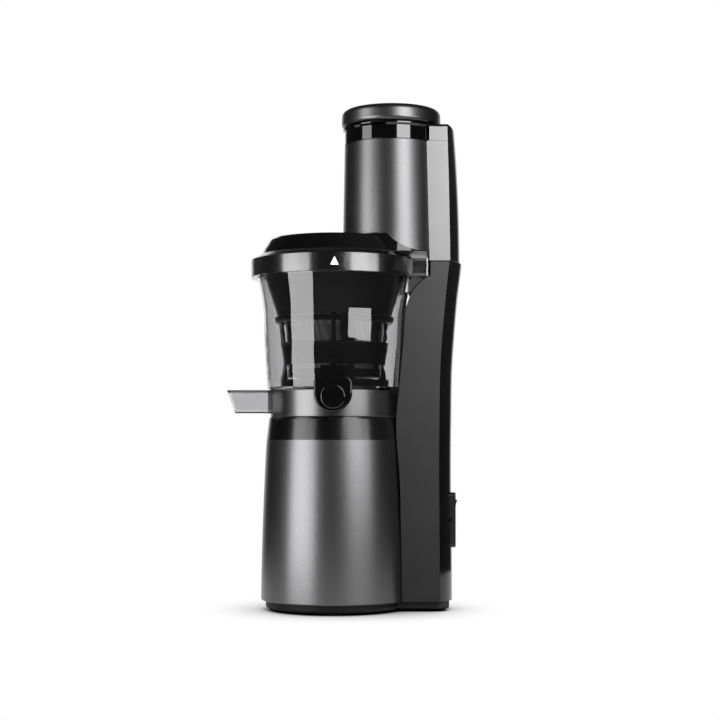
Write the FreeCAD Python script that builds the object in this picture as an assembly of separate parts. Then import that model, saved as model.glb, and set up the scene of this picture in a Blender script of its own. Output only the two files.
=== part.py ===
import FreeCAD
import Part
import math
import os
from FreeCAD import Vector

# Cold press juicer, in millimetres.
# The drum's axis is X = 0, Y = 0 and the floor is Z = 0.
# The tower stands at +X, the pulp spout points to -X and the juice spout to -Y.

# Drum and deck
FOOT_HEIGHT = 2.0
PLINTH_TOP = 9.0
PLINTH_RADIUS = 61.7
DRUM_FOOT_RADIUS = 65.9
DRUM_MIDDLE_RADIUS = 64.1
DRUM_TOP_RADIUS = 61.0
DRUM_TOP = 152.0
DECK_TOP = 172.6
DECK_TOP_RADIUS = 58.3
WALL = 2.2
PLATE = 3.0

# Tower
TOWER_HALF_WIDTH = 28.0
TOWER_TOP = 309.5
NOTCH_FLOOR = 296.6
NOTCH_WALL_X = 85.4
BACK_BULGE = 12.2
BELT_PROUD = 1.0
BELT_HEIGHT = 4.0
SEAM = 0.15
EDGE_STATIONS = 13

# Rocker switch on the back
SWITCH_HEIGHT = 80.5
SWITCH_TALL = 49.0
SWITCH_WIDE = 24.0
SWITCH_FACE_X = 108.5
ROCKER_TALL = 37.4
ROCKER_WIDE = 17.0
ROCKER_PIVOT_X = 103.5
ROCKER_REST_TILT = 8.0

# Gearing: teeth and module of each stage, and the gears' face heights
STAGE_TEETH = ((12, 60), (12, 48), (12, 45))
STAGE_MODULE = (0.6, 0.8, 1.0)
ROTOR_SHAFT_RADIUS = 2.5
OUTPUT_SHAFT_RADIUS = 6.0
RUNNING_FIT = 0.05
HEX_FLATS = 12.0
HEX_TOP = 202.0
GEARBOX_FLOOR = 85.0
GEARBOX_TOP = 150.0
GEARBOX_RADIUS = 52.0

# Bowl
BOWL_GAP = 0.3
BOWL_BAND_RADIUS = 57.2
BOWL_BAND_TOP = 195.6
BOWL_FLOOR_TOP = 199.0
BOWL_WALL = 3.0
RIM_RADIUS = 74.8
RIM_BOTTOM = 297.0
RIM_SHOULDER = 312.5
RIM_TOP = 317.0
RIM_MOUTH_RADIUS = 66.8
RIM_TAIL_X = 84.8
MARK_SIDE = 7.2
MARK_HEIGHT = 308.9
MARK_X = 1.2
GUSSET_BOTTOM = 282.5

# Spouts and the juice cap
JUICE_HEIGHT = 189.0
JUICE_TUBE_RADIUS = 9.7
JUICE_BORE = 7.5
JUICE_TUBE_END = -79.0
CAP_WIDE = 32.8
CAP_TOP = 205.4
CAP_BACK = -76.5
CAP_FRONT = -84.0
CAP_DISC_RADIUS = 10.7
CAP_NECK_TOP = 216.0
CAP_PIN_Y = -69.5
CAP_PIN_Z = 212.5
CAP_PIN_RADIUS = 1.5
PULP_BOTTOM = 175.6
PULP_TOP = 196.4
PULP_HALF_WIDTH = 17.0
PULP_TIP_TOP = -95.5
PULP_TIP_BOTTOM = -87.8
PULP_PLUG_X = -42.0

# Strainer, wiper and auger inside the bowl
STRAINER_FLOOR = 208.0
STRAINER_TOP = 273.0
MESH_BOTTOM_RADIUS = 41.0
MESH_TOP_RADIUS = 44.5
WIPER_MODULE = 1.25
AUGER_PINION_TEETH = 16
IDLER_TEETH = 20
RING_TEETH = 56
WIPER_BOTTOM = 199.8
WIPER_GEAR_TOP = 205.6
WIPER_OUTER = 48.5
WIPER_BAND_LOW = 219.0
WIPER_BAND_HIGH = 238.5
WIPER_RING_LOW = 256.5
WIPER_RING_HIGH = 261.5
WIPER_RING_RADIUS = 53.5
WIPER_ARM_TURNS = (20, 100, 195, 285)
AUGER_FLIGHT_RADIUS = 37.5
AUGER_PITCH = 27.0

# Lid, chute and pusher
CHUTE_X = 51.0
LID_PLUG_RADIUS = 66.2
LID_TOP = 332.0
FUNNEL_TOP = 301.5
FUNNEL_BOTTOM = 263.0
FUNNEL_TOP_RADIUS = 62.6
FUNNEL_BOTTOM_RADIUS = 51.3
FUNNEL_WALL = 2.0
SLEEVE_FOOT = 333.0
SLEEVE_FOOT_RADIUS = 43.2
SLEEVE_TOP_RADIUS = 41.7
SLEEVE_TOP = 415.6
COLLAR_BOTTOM = 416.4
COLLAR_TOP = 430.6
THROAT_RADIUS = 38.0
LINER_RADIUS = 40.3
TAIL_BOTTOM = 310.5
TAIL_TOP = 430.7
PANEL_TOP = 428.8
PUSHER_RADIUS = 37.2
PUSHER_BOTTOM = 352.0
FLANGE_BOTTOM = 432.0
FLANGE_TOP = 447.0
FLANGE_RADIUS = 44.4

UP = Vector(0, 0, 1)
PARTS = {}


# Small shape helpers

def disc(radius, low, high, x=0.0, y=0.0):
    return Part.makeCylinder(radius, high - low, Vector(x, y, low))


def ring(inner, outer, low, high, x=0.0, y=0.0):
    return disc(outer, low, high, x, y).cut(disc(inner, low - 1, high + 1, x, y))


def block(x0, x1, y0, y1, z0, z1):
    return Part.makeBox(x1 - x0, y1 - y0, z1 - z0, Vector(x0, y0, z0))


def rod(radius, start, end):
    axis = end.sub(start)
    return Part.makeCylinder(radius, axis.Length, start, axis)


def cone(r0, r1, low, high, x=0.0, y=0.0):
    return Part.makeCone(r0, r1, high - low, Vector(x, y, low))


def line(a, b):
    return Part.LineSegment(a, b).toShape()


def arc(a, middle, b):
    return Part.Arc(a, middle, b).toShape()


def spline(points):
    curve = Part.BSplineCurve()
    curve.interpolate(points)
    return curve.toShape()


def closed_face(edges):
    return Part.Face(Part.Wire(Part.__sortEdges__(edges)))


def polygon(points):
    return Part.Face(Part.makePolygon(points + [points[0]]))


def revolve(face):
    return face.revolve(Vector(0, 0, 0), UP, 360)


def turned(profile):
    """A solid of revolution about Z from (radius, height) corners."""
    return revolve(polygon([Vector(r, 0, z) for r, z in profile]))


def rounded_block(x0, x1, y0, y1, z0, z1, radius):
    """A block whose edges along X are rounded."""
    body = block(x0, x1, y0, y1, z0, z1)
    edges = [e for e in body.Edges if abs(e.tangentAt(e.FirstParameter).x) > 0.9]
    return body.makeFillet(radius, edges)


def fuse(shapes):
    whole = shapes[0].multiFuse(shapes[1:]) if len(shapes) > 1 else shapes[0]
    return whole.removeSplitter()


def keep(name, shape):
    PARTS[name] = shape


def group(shapes):
    return Part.makeCompound(shapes)


def around(count, radius, start=0.0):
    """Places evenly spread on a circle about the drum's axis."""
    angles = [math.radians(start + 360.0 * i / count) for i in range(count)]
    return [(radius * math.cos(a), radius * math.sin(a)) for a in angles]


# Gears

def involute_angle(radius, base):
    if radius <= base:
        return 0.0
    alpha = math.acos(base / radius)
    return math.tan(alpha) - alpha


def gear_face(teeth, module, height, phase=0.0, inside=False, backlash=0.16):
    """Outline of a spur gear with 20 degree involute flanks.

    phase is the direction of a tooth's centre, in degrees. An inside outline is the hole
    of a ring gear, so its teeth are the gaps of an outside gear.
    """
    pitch = teeth * module / 2.0
    base = pitch * math.cos(math.radians(20))
    root = pitch - (0.9 if inside else 1.25) * module
    tip = pitch + (1.25 if inside else 0.85) * module
    slack = backlash * module / pitch
    half = math.pi / 2 / teeth + involute_angle(pitch, base) + (slack if inside else -slack)
    radii = [root, max(root + 0.05, base), pitch, tip]
    points = []
    for tooth in range(teeth):
        centre = math.radians(phase) + 2 * math.pi * tooth / teeth
        spread = [half - involute_angle(r, base) for r in radii]
        for r, s in zip(radii, spread):
            points.append((r, centre - s))
        for r, s in reversed(list(zip(radii, spread))):
            points.append((r, centre + s))
    return polygon([Vector(r * math.cos(a), r * math.sin(a), height) for r, a in points])


def gear(teeth, module, low, high, place=(0.0, 0.0), phase=0.0):
    body = gear_face(teeth, module, low, phase).extrude(Vector(0, 0, high - low))
    body.translate(Vector(place[0], place[1], 0))
    return body


def hex_prism(flats, low, high):
    corner = flats / math.sqrt(3)
    points = [Vector(corner * math.cos(math.radians(60 * i)), corner * math.sin(math.radians(60 * i)), low)
              for i in range(6)]
    return polygon(points).extrude(Vector(0, 0, high - low))


# Tower outlines

def tower_edge(z):
    """X of the seam between the side panel and the back cover."""
    flare = max(0.0, z - 200.0) / 109.5
    return 93.6 - 0.7 * math.sin(math.pi * min(z, 250.0) / 250.0) ** 4 + 8.6 * flare ** 1.5


def tail_edge(z):
    """X of the seam on the lid's tail, above the tower."""
    share = max(0.0, z - TAIL_BOTTOM) / (TAIL_TOP - TAIL_BOTTOM)
    return 102.6 - 2.6 * share ** 1.4


def tail_bulge(z):
    share = max(0.0, z - TAIL_BOTTOM) / (TAIL_TOP - TAIL_BOTTOM)
    return 10.2 - 2.6 * share ** 2.5


def crescent(z, edge, bulge, thickness):
    """Section of a curved back: an outer and an inner arc between the two seams."""
    y = TOWER_HALF_WIDTH
    inner_y = y - thickness
    outer = arc(Vector(edge, -y, z), Vector(edge + bulge, 0, z), Vector(edge, y, z))
    inner = arc(Vector(edge, -inner_y, z), Vector(edge + bulge - thickness, 0, z), Vector(edge, inner_y, z))
    ends = [line(Vector(edge, s * y, z), Vector(edge, s * inner_y, z)) for s in (-1, 1)]
    return Part.Wire(Part.__sortEdges__([outer, inner] + ends))


def bowed_section(z, front, edge, bulge, half_width):
    """Section of a box with straight sides and a bowed back."""
    y = half_width
    edges = [line(Vector(edge, -y, z), Vector(front, -y, z)),
             line(Vector(front, -y, z), Vector(front, y, z)),
             line(Vector(front, y, z), Vector(edge, y, z)),
             arc(Vector(edge, y, z), Vector(edge + bulge, 0, z), Vector(edge, -y, z))]
    return Part.Wire(edges)


def stations(low, high, count):
    return [low + (high - low) * i / (count - 1) for i in range(count)]


def loft(wires):
    return Part.makeLoft(wires, True, False)


def side_outline(low, high, front, edge_of):
    """Side view of a tower or tail panel, in the plane Y = 0."""
    back = spline([Vector(edge_of(z), 0, z) for z in stations(low, high, EDGE_STATIONS)])
    top = line(Vector(edge_of(high), 0, high), Vector(front, 0, high))
    face = line(Vector(front, 0, high), Vector(front, 0, low))
    bottom = line(Vector(front, 0, low), Vector(edge_of(low), 0, low))
    return closed_face([back, top, face, bottom])


def front_cut(growth):
    """The space in front of the tower: a hollow round the drum and bowl, and the rim's notch."""
    hollow = [(66.6, -5), (65.4, 74), (64.1, 123), (61.8, 170), (63.5, 192), (66.4, 225),
              (68.3, 252), (69.9, 270), (74.0, 281.5), (81.1, 291), (88.0, NOTCH_FLOOR)]
    curve = spline([Vector(r + growth, 0, z) for r, z in hollow])
    top = line(Vector(88.0 + growth, 0, NOTCH_FLOOR), Vector(0, 0, NOTCH_FLOOR))
    axis = line(Vector(0, 0, NOTCH_FLOOR), Vector(0, 0, -5))
    bottom = line(Vector(0, 0, -5), Vector(66.6 + growth, 0, -5))
    front = revolve(closed_face([curve, top, axis, bottom]))
    notch = block(-100, NOTCH_WALL_X + growth, -60, 60, NOTCH_FLOOR - growth * 0.8, 400)
    return front.fuse(notch)


# Base: drum, deck, plinth and feet

def drum_outline(inset):
    """Side of the drum, as one long arc."""
    return arc(Vector(DRUM_FOOT_RADIUS - inset, 0, PLINTH_TOP), Vector(DRUM_MIDDLE_RADIUS - inset, 0, 85),
               Vector(DRUM_TOP_RADIUS - inset, 0, DRUM_TOP))


def drum_shell():
    top = line(Vector(DRUM_TOP_RADIUS, 0, DRUM_TOP), Vector(DRUM_TOP_RADIUS - WALL, 0, DRUM_TOP))
    foot = line(Vector(DRUM_FOOT_RADIUS, 0, PLINTH_TOP), Vector(DRUM_FOOT_RADIUS - WALL, 0, PLINTH_TOP))
    wall = revolve(closed_face([drum_outline(0), top, drum_outline(WALL), foot]))
    lip = ring(55, DRUM_FOOT_RADIUS - WALL / 2, PLINTH_TOP, PLINTH_TOP + 2)
    shell = fuse([wall, lip])
    foot_edge = [e for e in shell.Edges if e.BoundBox.ZMax < PLINTH_TOP + 0.01
                 and e.BoundBox.XMax > DRUM_FOOT_RADIUS - 0.1]
    keep("drum_shell", shell.makeFillet(1.2, foot_edge))


def deck_ring():
    band = turned([(DRUM_TOP_RADIUS, DRUM_TOP), (DECK_TOP_RADIUS + 0.6, DECK_TOP - 2.2),
                   (DECK_TOP_RADIUS, DECK_TOP - 0.6), (DECK_TOP_RADIUS - 0.8, DECK_TOP), (9, DECK_TOP),
                   (9, DECK_TOP - PLATE), (DECK_TOP_RADIUS - 3, DECK_TOP - PLATE),
                   (DRUM_TOP_RADIUS - 3, DRUM_TOP)])
    posts = [disc(4, GEARBOX_TOP, DECK_TOP - PLATE + 0.5, x, y) for x, y in around(4, 42, 45)]
    keep("deck_ring", fuse([band] + posts))


def plinth_solid(radius, tower_half, x_end, low, high):
    drum = disc(radius, low, high)
    tower = block(20, x_end, -tower_half, tower_half, low, high)
    corners = [e for e in tower.Edges if abs(e.tangentAt(e.FirstParameter).z) > 0.9
               and e.BoundBox.XMin > x_end - 1]
    return drum.fuse(tower.makeFillet(tower_half * 0.45, corners)).removeSplitter()


def base_plinth():
    outer = plinth_solid(PLINTH_RADIUS, 25.2, 102.5, FOOT_HEIGHT, PLINTH_TOP)
    bottom = [e for e in outer.Edges if e.BoundBox.ZMax < FOOT_HEIGHT + 0.01]
    outer = outer.makeFillet(2.2, bottom)
    inner = plinth_solid(PLINTH_RADIUS - 2.5, 22.7, 100.0, FOOT_HEIGHT + PLATE, PLINTH_TOP + 1)
    pan = outer.cut(inner)
    bosses = [disc(3.5, FOOT_HEIGHT + 1, PLINTH_TOP, x, y) for x, y in around(4, 53, 45)]
    pan = fuse([pan] + bosses)
    for x, y in around(4, 53, 45):
        pan = pan.cut(disc(2.6, FOOT_HEIGHT - 1, FOOT_HEIGHT + 2.5, x, y))
    keep("base_plinth", pan)
    feet_at = around(4, 46, 0) + [(0, 0), (88, 0)]
    feet = [cone(6.0, 7.0, 0, FOOT_HEIGHT, x, y) for x, y in feet_at]
    keep("rubber_feet", group(feet))
    heads = [disc(2.4, FOOT_HEIGHT + 0.9, FOOT_HEIGHT + 2.5, x, y) for x, y in around(4, 53, 45)]
    keep("case_screws", group(heads))


# Base: tower

def tower_housing():
    outline = side_outline(PLINTH_TOP, TOWER_TOP, 30, lambda z: tower_edge(z) - SEAM)
    outline.translate(Vector(0, -TOWER_HALF_WIDTH, 0))
    outer = outline.extrude(Vector(0, 2 * TOWER_HALF_WIDTH, 0))
    inside = TOWER_HALF_WIDTH - WALL
    hollow = block(0, 200, -inside, inside, PLINTH_TOP + WALL, 400).cut(front_cut(WALL))
    keep("tower_housing", outer.cut(front_cut(0)).cut(hollow))


def tower_back_cover():
    heights = stations(PLINTH_TOP, TOWER_TOP, EDGE_STATIONS)
    shell = loft([crescent(z, tower_edge(z), BACK_BULGE, WALL) for z in heights])
    belt_low = TOWER_TOP - BELT_HEIGHT
    edge = tower_edge(TOWER_TOP)
    belt = loft([crescent(z, edge, BACK_BULGE + BELT_PROUD - 1.0, 3.2) for z in (belt_low, TOWER_TOP)])
    shell = shell.fuse(belt)
    window = rounded_block(90, 120, -SWITCH_WIDE / 2, SWITCH_WIDE / 2,
                           SWITCH_HEIGHT - SWITCH_TALL / 2, SWITCH_HEIGHT + SWITCH_TALL / 2, 3.0)
    inlet = rod(5.5, Vector(90, 12, 28), Vector(120, 12, 28))
    keep("tower_back_cover", shell.cut(window).cut(inlet))


def tower_cap():
    edge = tower_edge(TOWER_TOP)
    low = TOWER_TOP - PLATE
    wires = [bowed_section(z, NOTCH_WALL_X + WALL, edge, BACK_BULGE - 3.4, TOWER_HALF_WIDTH - WALL - 1.0)
             for z in (low, TOWER_TOP - 0.5)]
    slot = block(94.0, 100.0, -5, 5, low - 1, TOWER_TOP + 1)
    keep("tower_cap", loft(wires).cut(slot))
    box = rounded_block(92, 102, -8, 8, 284, 299, 1.5)
    lever = block(94.5, 99.5, -3, 3, 299, 301.5)
    arm = block(90, 92.2, WALL - TOWER_HALF_WIDTH, 8, 288, 296)
    keep("interlock_switch", fuse([box, lever, arm]))


def cord_bush():
    seat = rod(5.5, Vector(97.4, 12, 28), Vector(105.0, 12, 28))
    flange = rod(7.0, Vector(95.0, 12, 28), Vector(97.5, 12, 28))
    bore = rod(3.2, Vector(90, 12, 28), Vector(120, 12, 28))
    keep("cord_bush", fuse([seat, flange]).cut(bore))


def rocker_switch():
    face = SWITCH_FACE_X
    low = SWITCH_HEIGHT - SWITCH_TALL / 2
    high = SWITCH_HEIGHT + SWITCH_TALL / 2
    plate = rounded_block(102.6, face, -SWITCH_WIDE / 2, SWITCH_WIDE / 2, low, high, 3.0)
    window_tall = ROCKER_TALL / 2 + 1.3
    window_wide = ROCKER_WIDE / 2 + 0.5
    can = block(84, 102.6, -SWITCH_WIDE / 2 + 2, SWITCH_WIDE / 2 - 2, low + 3, high - 3)
    pocket = block(92, 120, -window_wide, window_wide,
                   SWITCH_HEIGHT - window_tall, SWITCH_HEIGHT + window_tall)
    pin_hole = rod(1.5 + RUNNING_FIT, Vector(ROCKER_PIVOT_X, -12.5, SWITCH_HEIGHT),
                   Vector(ROCKER_PIVOT_X, 12.5, SWITCH_HEIGHT))
    front = [e for e in plate.Edges if e.BoundBox.XMin > face - 0.01]
    body = fuse([plate.makeFillet(1.0, front), can])
    keep("switch_bezel", body.cut(pocket).cut(pin_hole))

    half = ROCKER_TALL / 2
    outline = closed_face([
        line(Vector(98.5, 0, -10), Vector(102.5, 0, -half)),
        line(Vector(102.5, 0, -half), Vector(107.4, 0, -half)),
        arc(Vector(107.4, 0, -half), Vector(106.3, 0, 0), Vector(107.4, 0, half)),
        line(Vector(107.4, 0, half), Vector(102.5, 0, half)),
        line(Vector(102.5, 0, half), Vector(98.5, 0, 10)),
        line(Vector(98.5, 0, 10), Vector(98.5, 0, -10))])
    outline.translate(Vector(0, -ROCKER_WIDE / 2, SWITCH_HEIGHT))
    button = outline.extrude(Vector(0, ROCKER_WIDE, 0))
    pivot = Vector(ROCKER_PIVOT_X, 0, SWITCH_HEIGHT)
    pins = rod(1.5, Vector(ROCKER_PIVOT_X, -11.5, SWITCH_HEIGHT), Vector(ROCKER_PIVOT_X, 11.5, SWITCH_HEIGHT))
    button = fuse([button, pins])
    button.rotate(pivot, Vector(0, 1, 0), ROCKER_REST_TILT)
    keep("rocker_button", button)


def circuit_board():
    board = block(68, 94, -15.8, -14.2, 128, 214)
    standoffs = [rod(2.5, Vector(x, -25.8, z), Vector(x, -15.8, z)) for x in (72, 88) for z in (134, 206)]
    relay = block(78, 92, -14.2, -2, 136, 152)
    capacitor = rod(6, Vector(85, -14.2, 166), Vector(85, 6, 166))
    sink = block(76, 94, -14.2, -9, 180, 200)
    keep("circuit_board", fuse([board, relay, capacitor, sink] + standoffs))


# Base: motor and gearing

def stage_places():
    """Centres of the two offset gear pins."""
    first = STAGE_MODULE[0] * sum(STAGE_TEETH[0]) / 2
    second = STAGE_MODULE[1] * sum(STAGE_TEETH[1]) / 2
    third = STAGE_MODULE[2] * sum(STAGE_TEETH[2]) / 2
    x = (third ** 2 + first ** 2 - second ** 2) / (2 * first)
    return (first, 0.0), (x, math.sqrt(third ** 2 - x ** 2))


def mesh_phase(teeth, other_teeth, other_phase, direction):
    """Phase of a gear so that it meshes with another one that lies in that direction from it."""
    other_hits = (direction + 180 - other_phase) * other_teeth / 360.0
    return direction - 180.0 / teeth + (other_hits % 1.0) * 360.0 / teeth


def bearing(shaft, outer, low, high, x=0.0, y=0.0):
    return ring(shaft + RUNNING_FIT, outer, low, high, x, y)


def gear_train():
    (ax, ay), (bx, by) = stage_places()
    pin = 2.0
    pinion_1, wheel_1 = STAGE_TEETH[0]
    pinion_2, wheel_2 = STAGE_TEETH[1]
    pinion_3, wheel_3 = STAGE_TEETH[2]
    to_rotor = 180.0
    a_to_b = math.degrees(math.atan2(by - ay, bx - ax))
    b_to_centre = math.degrees(math.atan2(-by, -bx))

    shaft = disc(ROTOR_SHAFT_RADIUS, 17, 91)
    core = disc(19, 32, 74)
    for x, y in around(12, 19.6):
        core = core.cut(disc(1.7, 31, 75, x, y))
    commutator = disc(9, 22, 29)
    pinion = gear(pinion_1, STAGE_MODULE[0], 90.5, 99)
    keep("motor_rotor", fuse([shaft, core, commutator, pinion]))

    phase_a = mesh_phase(wheel_1, pinion_1, 0.0, to_rotor)
    first = gear(wheel_1, STAGE_MODULE[0], 92, 98, (ax, ay), phase_a)
    first_pinion = gear(pinion_2, STAGE_MODULE[1], 98, 111, (ax, ay), phase_a)
    bore_a = disc(pin + RUNNING_FIT, 80, 160, ax, ay)
    keep("first_gear", fuse([first, first_pinion]).cut(bore_a))

    phase_b = mesh_phase(wheel_2, pinion_2, phase_a, a_to_b + 180)
    second = gear(wheel_2, STAGE_MODULE[1], 102, 109, (bx, by), phase_b)
    second_pinion = gear(pinion_3, STAGE_MODULE[2], 109, 129, (bx, by), phase_b)
    bore_b = disc(pin + RUNNING_FIT, 80, 160, bx, by)
    keep("second_gear", fuse([second, second_pinion]).cut(bore_b))

    phase_c = mesh_phase(wheel_3, pinion_3, phase_b, b_to_centre + 180)
    keep("output_gear", gear(wheel_3, STAGE_MODULE[2], 115, 127, (0, 0), phase_c).cut(hex_prism(10, 100, 140)))
    tongue = hex_prism(10, 113, 127)
    round_part = disc(OUTPUT_SHAFT_RADIUS, 127, 176)
    clip = ring(OUTPUT_SHAFT_RADIUS - 0.5, 8, 127, 129)
    keep("hex_shaft", fuse([tongue, round_part, clip, hex_prism(HEX_FLATS, 176, HEX_TOP)]))
    pins = [disc(pin, GEARBOX_FLOOR + PLATE, 113.5, ax, ay),
            disc(pin, GEARBOX_FLOOR + PLATE, GEARBOX_TOP - PLATE, bx, by)]
    keep("gear_pins", group(pins))


def motor_and_gearbox():
    can = ring(28, 30, 20, GEARBOX_FLOOR)
    keep("motor_can", fuse([can, ring(6, 29, GEARBOX_FLOOR - 2, GEARBOX_FLOOR)]))
    half_ring = ring(21, 28, 32, 74)
    gap = block(-40, 40, -6, 6, 0, 100)
    magnets = half_ring.cut(gap)
    keep("motor_magnets", magnets)
    cap = disc(30, 14, 20)
    brushes = [block(left, left + 7.4, -3, 3, 19.5, 28) for left in (-17, 9.6)]
    cap = fuse([cap] + brushes).cut(disc(7, 16, 40)).cut(disc(3.5, 10, 20))
    keep("brush_cap", cap)

    case = turned([(0, GEARBOX_FLOOR), (GEARBOX_RADIUS, GEARBOX_FLOOR),
                   (GEARBOX_RADIUS, GEARBOX_TOP - PLATE),
                   (GEARBOX_RADIUS - 2.5, GEARBOX_TOP - PLATE), (GEARBOX_RADIUS - 2.5, GEARBOX_FLOOR + PLATE),
                   (0, GEARBOX_FLOOR + PLATE)])
    case = case.cut(disc(7, 80, 90))
    keep("gearbox_case", case)
    lid = disc(GEARBOX_RADIUS, GEARBOX_TOP - PLATE, GEARBOX_TOP)
    boss = disc(14, 131, GEARBOX_TOP)
    lid = fuse([lid, boss]).cut(disc(11, 133, GEARBOX_TOP + 1)).cut(disc(8.6, 120, 140))
    keep("gearbox_lid", lid)
    bearings = [bearing(OUTPUT_SHAFT_RADIUS, 11, 133, 138), bearing(OUTPUT_SHAFT_RADIUS, 11, 145, 150),
                bearing(ROTOR_SHAFT_RADIUS, 7, 84.8 + 0.2, 88), bearing(ROTOR_SHAFT_RADIUS, 7, 16, 20)]
    spacer = ring(8.5, 11, 138, 145)
    keep("shaft_bearings", group(bearings + [spacer]))
    screws = [disc(3.2, GEARBOX_TOP, GEARBOX_TOP + 1.8, x, y) for x, y in around(4, 46, 0)]
    keep("gearbox_screws", group(screws))
    lip = OUTPUT_SHAFT_RADIUS + RUNNING_FIT
    seal = turned([(lip, 169), (9, 169), (9, DECK_TOP), (10.5, DECK_TOP), (8.5, DECK_TOP + 1.6),
                   (lip, DECK_TOP + 1.6)])
    keep("deck_seal", seal)


# Bowl

def bowl_side(inset):
    """Side of the bowl above its lower band, flaring to the rim."""
    lower = arc(Vector(60.3 - inset, 0, 198.5), Vector(62.5 - inset, 0, 232), Vector(63.9 - inset, 0, 266))
    flare = arc(Vector(63.9 - inset, 0, 266), Vector(65.8 - inset, 0, 281), Vector(69.5 - inset, 0, RIM_BOTTOM))
    return [lower, flare]


def bowl_wall():
    outer = bowl_side(0)
    inner = bowl_side(BOWL_WALL)
    low_in = Vector(60.3 - BOWL_WALL, 0, 198.5)
    profile = outer + inner + [
        line(Vector(69.5, 0, RIM_BOTTOM), Vector(69.5 - BOWL_WALL, 0, RIM_BOTTOM)),
        line(Vector(60.3, 0, 198.5), Vector(BOWL_BAND_RADIUS, 0, BOWL_BAND_TOP)),
        line(Vector(BOWL_BAND_RADIUS, 0, BOWL_BAND_TOP), Vector(54.3, 0, BOWL_BAND_TOP)),
        line(Vector(54.3, 0, BOWL_BAND_TOP), low_in)]
    return revolve(closed_face(profile))


def bowl_core():
    """The bowl's inner volume, from its floor to the rim."""
    low = Vector(60.3 - BOWL_WALL, 0, 198.5)
    high = Vector(69.5 - BOWL_WALL, 0, RIM_BOTTOM)
    edges = bowl_side(BOWL_WALL)
    edges += [line(high, Vector(0, 0, RIM_BOTTOM)),
              line(Vector(0, 0, RIM_BOTTOM), Vector(0, 0, 198.5)),
              line(Vector(0, 0, 198.5), low)]
    return revolve(closed_face(edges))


def rim_outline(radius, tail_x, half_width, low, high):
    tail = block(40, tail_x, -half_width, half_width, low, high)
    corners = [e for e in tail.Edges if abs(e.tangentAt(e.FirstParameter).z) > 0.9
               and e.BoundBox.XMin > tail_x - 1]
    return disc(radius, low, high).fuse(tail.makeFillet(3.5, corners)).removeSplitter()


def pulp_channel(inset):
    half = PULP_HALF_WIDTH - inset
    return rounded_block(-110, -12 - inset, -half, half, PULP_BOTTOM + inset, PULP_TOP - inset, 4.0 - inset)


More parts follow.
